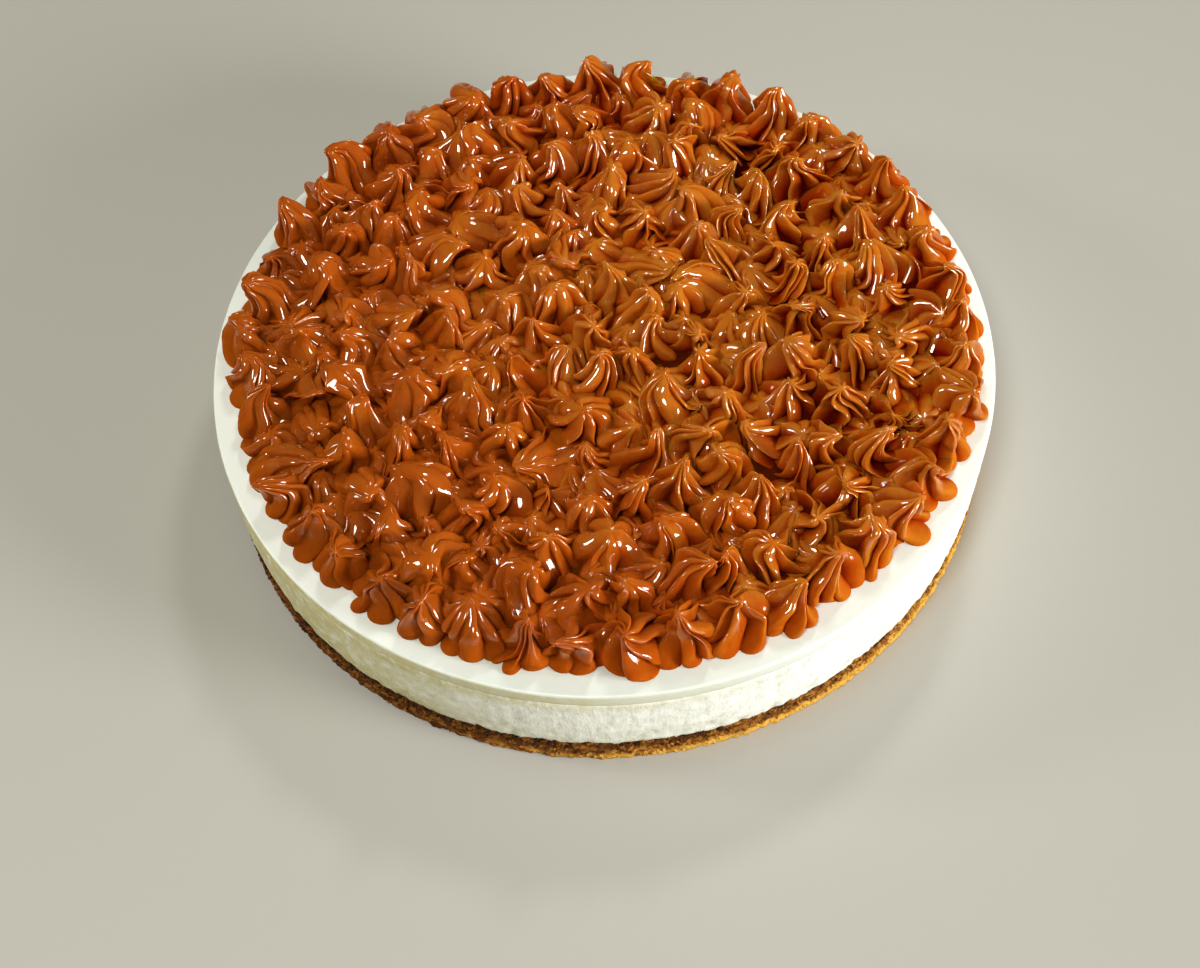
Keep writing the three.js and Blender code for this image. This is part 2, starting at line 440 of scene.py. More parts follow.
def turn_profile(name, profile, columns, side_from):
    """A closed turned solid. The profile's first and last points are on the axis."""
    rings = profile[1:-1]
    angles = np.arange(columns) / columns * 2 * math.pi
    points = [(0, 0, profile[0][1] * MM)]
    side = [0.0]
    for radius, height in rings:
        points += [(radius * MM * math.cos(a), radius * MM * math.sin(a), height * MM)
                   for a in angles]
        side += [1.0 if radius >= side_from else 0.0] * columns
    points.append((0, 0, profile[-1][1] * MM))
    side.append(0.0)
    top, last = len(points) - 1, 1 + (len(rings) - 1) * columns
    faces = []
    for i in range(columns):
        j = (i + 1) % columns
        faces.append((0, 1 + j, 1 + i))
        faces.append((top, last + i, last + j))
        for ring in range(len(rings) - 1):
            first = 1 + ring * columns
            faces.append((first + i, first + j, first + columns + j, first + columns + i))
    item = new_object(name, points, faces)
    item.data.attributes.new("side", "FLOAT", "POINT").data.foreach_set("value", side)
    return item


# %% [markdown]
# ## The crumb base
#
# Biscuits were crushed, mixed with butter and pressed flat with a spoon. From the side that
# is a wall of grains, from dust up to pieces of about three millimetres, with dark hollows
# between them. Light is painted into their colour: the lowest few millimetres are painted
# golden as a lit edge, the right side is painted paler as lit, and the left side is painted
# darker as shade. The crumbs are also made darker towards the top of the base.
#
# A bump map alone looks flat at the seam with the cream, where single grains stand out against
# white. So there are three steps: a turned wall with its own relief, coarse grains scattered
# on it as real meshes, and finer grains between them.

# %% Crumb material
BASE_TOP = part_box("biscuit_base")[1].z
CAKE_RADIUS = 0.12
# The side of the cake that the lamps light least, as a turn about its middle. Shade is painted
# towards it.
DARK_TURN = math.radians(200)
CRUMB_GRAIN = 1.7
CRUMB_STOPS = [
    (0.0, (0.030, 0.010, 0.001)),
    (0.3, (0.14, 0.048, 0.006)),
    (0.6, (0.32, 0.130, 0.020)),
    (1.0, (0.70, 0.400, 0.070)),
]


def faces_towards(tree, place, turn):
    """1 at the side of the cake that faces this turn about its middle, and -1 opposite."""
    x = tree.node("ShaderNodeSeparateXYZ", {}, {"Vector": place}, "X")
    return (x * math.cos(turn) + x.beside("Y") * math.sin(turn)) / CAKE_RADIUS


def make_crumb():
    material, tree = new_material("biscuit crumb")
    place = tree.node("ShaderNodeTexCoord", output="Object")
    height = tree.height_in(place)
    grains = tree.node("ShaderNodeTexVoronoi", {},
                       {"Vector": place, "Scale": 1 / (CRUMB_GRAIN * MM)}, "Color")
    grain = tree.node("ShaderNodeSeparateColor", {}, {"Color": grains}, "Red")
    patches = tree.noise(place, 9 * MM, 2.0)
    toward = faces_towards(tree, place, DARK_TURN)
    # Painted light and shade: the left side darker as shade, the right side paler as lit, and the
    # lowest edge golden as lit, except on the shaded left.
    shaded_side = tree.clamp(toward * 1.3)
    lit_side = tree.clamp(toward * -1.3 - 0.1)
    lit_golden_edge = tree.step(height + (patches - 0.5) * 2.0 * MM, 4.6 * MM, 2.4 * MM) * (1 - shaded_side)
    # Darker towards the top of the base.
    darker_at_top = tree.step(height + (patches - 0.5) * 5 * MM, BASE_TOP - 3.5 * MM, BASE_TOP)
    shade = tree.clamp(grain * 0.55 + patches * 0.5 + lit_golden_edge * 0.7 + lit_side * 0.45
                       - darker_at_top * 0.16 - shaded_side * 0.18)
    colour = tree.ramp(shade, CRUMB_STOPS)
    rough = tree.noise(place, 0.7 * MM, 3.0, 0.6) + tree.noise(place, 2.2 * MM, 1.0)
    bump = tree.bump(rough, 0.7, 0.5)
    finish_material(tree, {"Base Color": colour, "Roughness": 0.6 + grain * 0.3, "Normal": bump},
                    {"Specular IOR Level": 0.25})
    return material


crumb = make_crumb()

# %% Base wall
BASE_RADIUS = 119.3
BASE_RELIEF = 0.8
BASE_ROUNDING = 0.7
BASE_STEP = 0.9
BASE_COLUMNS = 800
CRUMB_LAYERS = [(5, 0.5), (2.2, 1.0), (1.1, 0.6)]


def make_relief_tree(name, material, layers):
    """Moves the side wall in and out by noises. Layers are pairs of a blob size and a depth."""
    tree = GeometryTree(name, {"Depth": 1.0})
    push = 0.0
    for size, depth in layers:
        push = (tree.noise(tree.position(), size * MM, 1.0) - 0.5) * (2 * depth * MM) + push
    amount = push * tree.attribute("side") * tree.size["Depth"]
    moved = tree.node("GeometryNodeSetPosition", {}, {
        "Geometry": tree.carrier,
        "Offset": tree.outward(tree.position()) * tree.xyz(amount, amount, amount)})
    tree.finish(tree.node("GeometryNodeSetShadeSmooth", {}, {"Geometry": moved}), material)
    return tree


base_top = BASE_TOP / MM
base_profile = [(0, 0), (BASE_RADIUS - BASE_ROUNDING, 0), (BASE_RADIUS, BASE_ROUNDING),
                (BASE_RADIUS - 0.4, base_top * 0.6), (BASE_RADIUS - 0.4, base_top - 0.4),
                (BASE_RADIUS - 1.6, base_top), (0, base_top)]
base_tree = make_relief_tree("pressed crumbs", crumb, CRUMB_LAYERS)
base_carrier = turn_profile("base carrier", split_side(base_profile, BASE_STEP), BASE_COLUMNS,
                            BASE_RADIUS - 1.2)
base_wall = grow("biscuit_base_wall", base_carrier, base_tree, {"Depth": BASE_RELIEF})

# %% Grains on the base
GRAIN_SIZES = {"Grains per square metre": 170000.0, "Smallest": 0.5 * MM, "Largest": 1.2 * MM,
               "Roundness steps": 2, "Seed": 1}
STRETCH = (0.7, 1.35)
CHIP = 1.1
WHOLE_TURN = 6.28


def make_grain_tree(material):
    tree = GeometryTree("crumb grains", GRAIN_SIZES)
    size = tree.size
    spots = tree.node("GeometryNodeDistributePointsOnFaces", {}, {
        "Mesh": tree.carrier, "Density": size["Grains per square metre"],
        "Seed": size["Seed"]}, "Points")
    grain = tree.node("GeometryNodeMeshIcoSphere", {},
                      {"Radius": 1.0, "Subdivisions": size["Roundness steps"]}, "Mesh")
    number = tree.node("GeometryNodeInputIndex")
    few_large = tree.random(0.0, 1.0, number, size["Seed"]) ** 2.2
    radius = (size["Smallest"] + (size["Largest"] - size["Smallest"]) * few_large) * 0.5
    stretch = [radius * tree.random(*STRETCH, number, size["Seed"] + k) for k in (1, 2, 3)]
    turns = [tree.random(0.0, WHOLE_TURN, number, size["Seed"] + k) for k in (4, 5, 6)]
    copies = tree.node("GeometryNodeInstanceOnPoints", {}, {
        "Points": spots, "Instance": grain, "Rotation": tree.xyz(*turns),
        "Scale": tree.xyz(*stretch)}, "Instances")
    mesh = tree.node("GeometryNodeRealizeInstances", {}, {"Geometry": copies})
    chip = tree.noise(tree.position(), CHIP * MM, 0.0).beside("Color") - (0.5, 0.5, 0.5)
    moved = tree.node("GeometryNodeSetPosition", {}, {
        "Geometry": mesh, "Offset": chip * (CHIP * MM, CHIP * MM, CHIP * MM)})
    tree.finish(tree.node("GeometryNodeSetShadeSmooth", {}, {"Geometry": moved}), material)
    return tree


def make_band(name, radius, low, high, columns=240):
    """An open upright band, on which grains are scattered. It isn't kept itself."""
    angles = np.arange(columns) / columns * 2 * math.pi
    points = [(radius * MM * math.cos(a), radius * MM * math.sin(a), z * MM)
              for z in (low, high) for a in angles]
    faces = [(i, (i + 1) % columns, columns + (i + 1) % columns, columns + i)
             for i in range(columns)]
    return new_object(name, points, faces)


# Each band's radius, low edge and high edge are in millimetres.
COARSE_BAND = (118.1, 2.1, 10.3)
COARSE_SIZES = {"Grains per square metre": 170000.0, "Smallest": 1.2 * MM, "Largest": 3.0 * MM,
                "Seed": 11}
FINE_BAND = (119.0, 0.8, 10.2)
FINE_SIZES = {"Grains per square metre": 620000.0, "Smallest": 0.5 * MM, "Largest": 1.4 * MM,
              "Roundness steps": 1, "Seed": 31}
grain_tree = make_grain_tree(crumb)
coarse_grains = grow("biscuit_grains_coarse", make_band("band", *COARSE_BAND), grain_tree,
                     COARSE_SIZES)
fine_grains = grow("biscuit_grains_fine", make_band("band", *FINE_BAND), grain_tree, FINE_SIZES)

# %% [markdown]
# ## The set cream
#
# The filling was whipped, so its side is full of fine pores and faint lumps, and the ring that
# it was set in left upright drag marks when it was lifted. At the bottom the cream ran into
# the hollows between the grains, so its lower edge is ragged and hangs over the crumbs here
# and there. At the left its side is painted tan, most of all near its top: partly a tan stain,
# mostly painted shade and a painted warm reflection. The pores are too fine for points and
# come from the bump, and the open ones are painted darker as shade. The lumps and the ragged
# edge are modelled.

# %% Cream material
CREAM_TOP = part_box("cream_filling")[1].z
PORE = 1.8
CREAM_STOPS = [
    (0.0, (0.66, 0.67, 0.60)),
    (0.4, (0.84, 0.86, 0.82)),
    (1.0, (0.95, 0.95, 0.92)),
]
CREAM_STAIN_AND_SHADE = (0.56, 0.50, 0.20, 1)
CREAM_IOR = 1.42


def make_cream():
    material, tree = new_material("set cream")
    place = tree.node("ShaderNodeTexCoord", output="Object")
    upright = place * (1.0, 1.0, 0.22)
    drags = tree.noise(upright, 2.6 * MM, 3.0, 0.6)
    patches = tree.noise(place, 16 * MM, 2.0)
    pores = tree.node("ShaderNodeTexVoronoi", {}, {"Vector": place, "Scale": 1 / (PORE * MM)},
                      "Distance")
    # Open pores are sunk by the bump and painted darker, as the shade inside them.
    open_pore_and_shade = tree.step(pores, 0.24, 0.12) * tree.step(tree.noise(place, 5 * MM), 0.52, 0.6)
    curds = tree.noise(place * (1.0, 1.0, 0.7), 3.0 * MM, 3.0, 0.6)
    shade = tree.clamp(0.5 + (curds - 0.5) * 2.0 + (drags - 0.5) * 0.7 + (patches - 0.5) * 0.6
                       - open_pore_and_shade * 0.3)
    mottled = tree.ramp(shade, CREAM_STOPS)
    height = tree.height_in(place)
    toward = faces_towards(tree, place, DARK_TURN)
    # At the left the side is painted tan: partly a stain near the top, mostly painted shade and a
    # painted warm reflection over the whole height.
    stain_and_shade_side = tree.clamp(toward * 0.9 + 0.2)
    most = tree.clamp(toward * 3.2 - 1.9)
    upper = tree.step(height + (curds - 0.5) * 5 * MM, CREAM_TOP - 7 * MM, CREAM_TOP - 0.5 * MM)
    lower = tree.step(height + (patches - 0.5) * 8 * MM, CREAM_TOP - 12 * MM, CREAM_TOP - 26 * MM)
    share = stain_and_shade_side * (0.22 + upper * 0.6 + lower * 0.25) + most * 0.6
    stain_and_shade = tree.clamp(share, 0.0, 0.85) * tree.clamp(2.1 - curds * 2.4)
    colour = tree.blend(stain_and_shade, mottled, CREAM_STAIN_AND_SHADE)
    grain = tree.noise(place, 1.1 * MM, 3.0, 0.6) * 0.4 + curds * 1.2 + drags - open_pore_and_shade * 0.6
    bump = tree.bump(grain, 0.4, 0.7)
    finish_material(tree, {"Base Color": colour, "Roughness": 0.42 + drags * 0.25,
                           "Normal": bump}, {"IOR": CREAM_IOR})
    return material


cream = make_cream()

# %% Cream filling
CREAM_RADIUS = 119.6
CREAM_FOOT_RADIUS = 118.8
CREAM_RAGGED = 0.8
CREAM_STEP = 1.1
CREAM_COLUMNS = 840
FOOT_HEIGHT = 9
cream_low, cream_high = (corner.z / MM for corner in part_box("cream_filling"))
cream_profile = [(0, cream_low), (CREAM_FOOT_RADIUS - 2.4, cream_low),
                 (CREAM_FOOT_RADIUS - 0.35, cream_low + 0.05),
                 (CREAM_FOOT_RADIUS, cream_low + 0.6), (CREAM_RADIUS, cream_low + FOOT_HEIGHT),
                 (CREAM_RADIUS + 0.15, cream_high - 1.2), (CREAM_RADIUS - 0.15, cream_high),
                 (0, cream_high)]


def make_cream_tree():
    tree = GeometryTree("cream side", {"Ragged edge": CREAM_RAGGED * MM})
    place = tree.position()
    height = tree.height_in(place)
    low = tree.step(height, (cream_low + FOOT_HEIGHT) * MM, cream_low * MM)
    lowest = tree.step(height, (cream_low + 2.4) * MM, cream_low * MM)
    lumps = (tree.noise(place, 3.2 * MM, 1.0) - 0.5) * (0.35 * MM + low * 0.8 * MM)
    drags = (tree.noise(place * (1.0, 1.0, 0.15), 5 * MM, 1.0) - 0.5) * 0.55 * MM
    below_top = tree.step(height, cream_high * MM, (cream_high - 3) * MM)
    out = (lumps + drags) * tree.attribute("side") * (0.25 + below_top * 0.75)
    runs = tree.noise(place * (1.0, 1.0, 0.0), 3.0 * MM, 2.0)
    drop = tree.clamp((runs - 0.42) * 4.5) * lowest * tree.attribute("side") * -1
    sunk = tree.xyz(0, 0, drop * tree.size["Ragged edge"])
    offset = tree.outward(place) * tree.xyz(out, out, out) + sunk
    moved = tree.node("GeometryNodeSetPosition", {},
                      {"Geometry": tree.carrier, "Offset": offset})
    tree.finish(tree.node("GeometryNodeSetShadeSmooth", {}, {"Geometry": moved}), cream)
    return tree


cream_carrier = turn_profile("cream carrier", split_side(cream_profile, CREAM_STEP),
                             CREAM_COLUMNS, CREAM_FOOT_RADIUS - 0.5)
cream_side = grow("cream_filling_side", cream_carrier, make_cream_tree(), {})

# %% [markdown]
# ## The smooth layer
#
# A thin layer was poured over the set cream and levelled itself, so it is the only smooth
# surface on the cake: flat on top and rounded over at its edge. Down its side at the left it
# is painted the same mottled tan as the cream, partly a stain and mostly painted shade and a
# painted warm reflection, and at the right it is white. Its top isn't one white: faint
# grey-green clouds lie in it, and painted shade greys it towards the near left, while the
# right and the far left are painted lighter, as lit. Its lower edge and the cream's upper
# edge both taper inwards and cross, so only a faint crease marks the joint.

# %% Smooth cream material
TOP_LAYER_LOW, TOP_LAYER_HIGH = (corner.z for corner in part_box("smooth_top_layer"))
SHADED_CLOUDED_WHITE = (0.68, 0.725, 0.68, 1)
LIT_CLEAR_WHITE = (0.86, 0.89, 0.85, 1)
EDGE_STAIN_AND_SHADE = (0.62, 0.55, 0.25, 1)


def make_smooth_cream():
    material, tree = new_material("smooth cream")
    place = tree.node("ShaderNodeTexCoord", output="Object")
    height = tree.height_in(place)
    toward = faces_towards(tree, place, DARK_TURN)
    wobble = tree.noise(place * (1.0, 1.0, 0.4), 14 * MM, 3.0)
    wavy = height + (wobble - 0.5) * 0.8 * MM
    band = tree.step(wavy, TOP_LAYER_HIGH - 0.1 * MM, TOP_LAYER_HIGH - 0.7 * MM)
    spots = tree.noise(place * (1.0, 1.0, 0.7), 3.0 * MM, 3.0, 0.6)
    # At the left the side is painted tan: partly a stain, mostly painted shade and a painted warm
    # reflection.
    stain_and_shade_side = tree.clamp(toward * 0.9 + 0.12 + (wobble - 0.5) * 0.5)
    stain_and_shade = tree.clamp(band * stain_and_shade_side * tree.clamp(1.9 - spots * 2.0))
    clouds = tree.noise(place, 24 * MM, 3.0)
    # The share below is painted light: the top is lighter at the right and the far left, as lit,
    # and greyer towards the near left, as shade, over random grey-green clouds.
    far_left = tree.clamp(toward * 3 - 1.8)
    clear = tree.clamp(0.34 - toward * 0.6 + far_left * 1.1 + (clouds - 0.5) * 0.3)
    white = tree.blend(clear, SHADED_CLOUDED_WHITE, LIT_CLEAR_WHITE)
    colour = tree.blend(stain_and_shade, white, EDGE_STAIN_AND_SHADE)
    ripple = tree.noise(place, 6 * MM, 2.0) + tree.noise(place, 1.2 * MM, 2.0) * 0.15
    bump = tree.bump(ripple, 0.25, 0.5)
    finish_material(tree, {"Base Color": colour, "Roughness": 0.28 + clouds * 0.2,
                           "Normal": bump}, {"IOR": CREAM_IOR})
    return material


smooth_cream = make_smooth_cream()

# %% Smooth layer
TOP_RADIUS = 119.9
TOP_EDGE_RADIUS = 0.9
TOP_COLUMNS = 480
TOP_LAYERS = [(18, 0.1), (6, 0.06)]
LIP = 1.1
top_low, top_high = TOP_LAYER_LOW / MM, TOP_LAYER_HIGH / MM
rounded = [(TOP_RADIUS - TOP_EDGE_RADIUS * (1 - math.cos(math.radians(turn))),
            top_high - TOP_EDGE_RADIUS * (1 - math.sin(math.radians(turn))))
           for turn in range(0, 91, 10)]
top_profile = [(0, top_low), (TOP_RADIUS - 1.5, top_low), (TOP_RADIUS - 1.4, top_low - LIP),
               (TOP_RADIUS - 0.5, top_low - LIP), (TOP_RADIUS - 0.18, top_low + 0.1),
               (TOP_RADIUS - 0.03, top_low + 1.2), *rounded,
               (TOP_RADIUS - 8, top_high), (TOP_RADIUS - 30, top_high), (0, top_high)]
top_carrier = turn_profile("top carrier", top_profile, TOP_COLUMNS, TOP_RADIUS - 0.5)
top_tree = make_relief_tree("smooth side", smooth_cream, TOP_LAYERS)
top_layer = grow("smooth_top", top_carrier, top_tree, {})

# %% [markdown]
# ## The caramel's finish
#
# Milk caramel is orange-brown and glossy. Where it is thin, as on the crest of a rib, light
# passes into it and it looks lighter and more orange, and that glow is painted: crests and tips
# are painted lighter. Deep in a furrow and low down near the bed between stars shade falls,
# and it is painted too, dark and red. The stars carry attributes that say how deep in a furrow
# or how low each point lies, and whether it is on a crest, at the tip or near the foot, so the
# painted light and shade follow the ribs. The gloss does too: it is a clear coat that fades in
# the furrows, at the tips and at the feet.
#
# At the left the caramel was warmer and has begun to settle, and its coat is duller there. Its
# colour there is painted darker as shade and blended towards a painted milky sheen. All over,
# painted shade darkens it a little towards the rim and the back, where less light falls than
# on the middle. A second caramel, painted near-black as the shade in the hollows, is for what
# lies between stars.

# %% Caramel material
BACK_TURN = math.radians(90)
RIGHT_TURN = 0.0
CARAMEL_STOPS = [
    (0.0, (0.49, 0.168, 0.015)),
    (0.25, (0.41, 0.074, 0.003)),
    (0.6, (0.225, 0.0125, 0.0005)),
    (1.0, (0.085, 0.0016, 0.0001)),
]
MILKY_SHEEN = (0.35, 0.145, 0.014, 1)
MILKY_SHEEN_SHARE = 0.36
# Near-black stops: painted shade for the hollows between stars.
DEEP_SHADE_STOPS = [
    (0.0, (0.20, 0.018, 0.0005)),
    (1.0, (0.060, 0.0018, 0.0001)),
]
CARAMEL_BODY = {
    "Specular IOR Level": 0.04,
    "Specular Tint": (1.0, 0.7, 0.35, 1.0),
    "Coat Roughness": 0.05,
    "Coat IOR": 1.8,
    "Subsurface Radius": (1.0, 0.28, 0.08),
    "Subsurface Scale": 3.0 * MM,
}


def make_caramel(name, stops, subsurface):
    material, tree = new_material(name)
    place = tree.node("ShaderNodeTexCoord", output="Object")
    furrow, crest, tip, low = (
        tree.node("ShaderNodeAttribute", {"attribute_name": mark}, output="Fac")
        for mark in ("furrow", "crest", "tip", "low"))
    patches = tree.noise(place, 30 * MM)
    streaks = tree.noise(place, 4 * MM, 3.0)
    # The left is painted darker as shade and blended towards a painted milky sheen; its coat is
    # duller there.
    left_shade_and_sheen = tree.clamp(faces_towards(tree, place, DARK_TURN) * 0.8 + 0.4)
    to_back = faces_towards(tree, place, BACK_TURN)
    to_right = faces_towards(tree, place, RIGHT_TURN)
    # Painted shade: darker towards the rim and the back, lighter in the lit middle.
    rim_shade = to_right * to_right + to_back * to_back
    # The ramp's share: painted shade in furrows and near the bed, painted light on crests and
    # tips, painted shade at the left, rim and back, and random streaks and patches.
    shade = tree.clamp(0.02 + left_shade_and_sheen * 0.27 + furrow ** 1.8 * 0.76
                       + rim_shade * 0.1 + tree.clamp(to_back) * 0.07
                       - (crest + tip) * (1 - left_shade_and_sheen) * 0.17
                       + (streaks - 0.5) * 0.35 + (patches - 0.5) * 0.35)
    colour = tree.blend(left_shade_and_sheen * MILKY_SHEEN_SHARE, tree.ramp(shade, stops), MILKY_SHEEN)
    gloss = tree.clamp(1.3 - furrow * 1.2 - tip * 0.5 - low * 1.3 - left_shade_and_sheen * 0.3)
    dimples = tree.noise(place, 1.4 * MM, 1.0) * 0.35 + tree.noise(place, 4 * MM, 1.0)
    finish_material(
        tree,
        {"Base Color": colour, "Roughness": 0.22 + streaks * 0.16 + furrow * 0.4 + low * 0.35,
         "Coat Weight": gloss, "Normal": tree.bump(dimples, 0.4, 0.9)},
        {**CARAMEL_BODY, "Subsurface Weight": subsurface})
    return material


caramel = make_caramel("milk caramel", CARAMEL_STOPS, 0.55)
shaded_deep_caramel = make_caramel("shaded deep caramel", DEEP_SHADE_STOPS, 0.15)

# %% [markdown]
# ## Where the stars stand
#
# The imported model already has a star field: rings about the middle of the cake, from the rim
# inwards, with every star pushed a little off its place. The same rule with the same seed is
# repeated here, so that the real stars stand where their plain solids stand. Only the broad
# stars and some rim stars stand elsewhere, by the rules of their own steps further down.
# Stars are kept in plain millimetres until they become points of a mesh.

# %% Star places
TOP_OF_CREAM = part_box("smooth_top_layer")[1].z
RIM_RING_RADIUS = 104.5
RING_PITCH = 14.5
STAR_PITCH = 14.6
RIM_WANDER = 1.1
INNER_WANDER = 2.6
STAR_SEED = 20
STAR_REACH = 7.4
REACH_SPREAD = 0.9
STAR_HEIGHT = 15.0
HEIGHT_SPREAD = 2.0
LEAN = 2.6
RIM_LEAN_OUT = 1.0


def make_random(seed):
    """Repeatable random numbers from 0 to 1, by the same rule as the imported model's."""
    state = seed

    def draw():
        nonlocal state
        state = (state * 1664525 + 1013904223) % 4294967296
        return state / 4294967296

    return draw


def lay_out_stars():
    draw = make_random(STAR_SEED)

    def either(spread):
        return (2 * draw() - 1) * spread

    stars = []
    ring = RIM_RING_RADIUS
    while ring > 0:
        on_rim = ring == RIM_RING_RADIUS
        count = max(1, round(2 * math.pi * ring / STAR_PITCH))
        wander = RIM_WANDER if on_rim else INNER_WANDER
        start = draw() * 2 * math.pi
        for i in range(count):
            radius = ring + either(wander)
            angle = start + i / count * 2 * math.pi + either(wander) / ring
            lean_angle = draw() * 2 * math.pi
            lean = LEAN * draw()
            reach = STAR_REACH + either(REACH_SPREAD)
            height = STAR_HEIGHT + either(HEIGHT_SPREAD)
            lean_out = RIM_LEAN_OUT if on_rim else 0
            stars.append({
                "x": radius * math.cos(angle),
                "y": radius * math.sin(angle),
                "lean_x": lean * math.cos(lean_angle) + lean_out * math.cos(angle),
                "lean_y": lean * math.sin(lean_angle) + lean_out * math.sin(angle),
                "reach": reach,
                "height": height,
                "on_rim": on_rim,
            })
        ring -= RING_PITCH
    return stars


stars = lay_out_stars()
print(len(stars), "stars stand", round(TOP_OF_CREAM / MM, 1), "mm above the floor")

# %% [markdown]
# ## One star, as a rule
#
# A star nozzle presses out a ribbed rope of caramel. At the foot it spreads, and the ribs
# become plump lobes with narrow furrows between them. Then the bag is pulled away: the ribs
# turn into thin fins, which twist and run together in a peak that leans and hooks over.
#
# A star could be sculpted once and copied, but copies show at once in a field of two hundred.
# Instead one grid of points is wrapped round each star's middle, and a formula moves every
# point: its column says on which rib it lies and how near to a furrow, and its row says how
# far up. Each rib draws its own length, width, curl and sag, and each star its own twist
# and hook, so that no two stars are alike. Sizes, softness, dome, clefts, unevenness and lean
# come with each star's point as attributes. The grid's last column falls exactly on its first
# and its last row on the peak, so merging by distance closes every star.
#
# The tree also marks every point as furrow and shade, crest, tip or low, for the caramel's finish:
# its painted shade, its painted light on crests and tips, and its gloss.

# %% The star tree
RIB_OUT = [(0.0, 0.0), (0.06, 0.93), (0.14, 1.0), (0.26, 0.96), (0.40, 0.85), (0.55, 0.69),
           (0.70, 0.51), (0.84, 0.34), (0.94, 0.20), (1.0, 0.0)]
RIB_UP = [(0.0, 0.0), (0.06, 0.0), (0.14, 0.04), (0.26, 0.14), (0.40, 0.29), (0.55, 0.46),
          (0.70, 0.64), (0.84, 0.80), (0.94, 0.93), (1.0, 1.0)]
FURROW_DEPTH = [(0.0, 0.38), (0.12, 0.50), (0.3, 0.88), (0.5, 1.0), (0.75, 0.92), (1.0, 0.5)]
MOST_RIBS = 16
DRAWS_PER_SEED = 20
RIB_LENGTH = (-1.0, 0.67)
RIB_SAG = (-0.12, 0.1)
RIB_WANDER = 0.34
CURL = 0.32
TWIST = 1.4
HOOK = 0.14
WIDE_DRIFT = 9.0
SMALL_DRIFT = 1.3
RIM_FROM = 104
RIM_FULL = 112
BURIED_BELOW = 9
STAR_SIZES = {
    "Ribs": 8,
    "Points across a rib": 10,
    "Points up a rib": 20,
    "Furrow depth": 0.74,
    "Seed": 1,
}


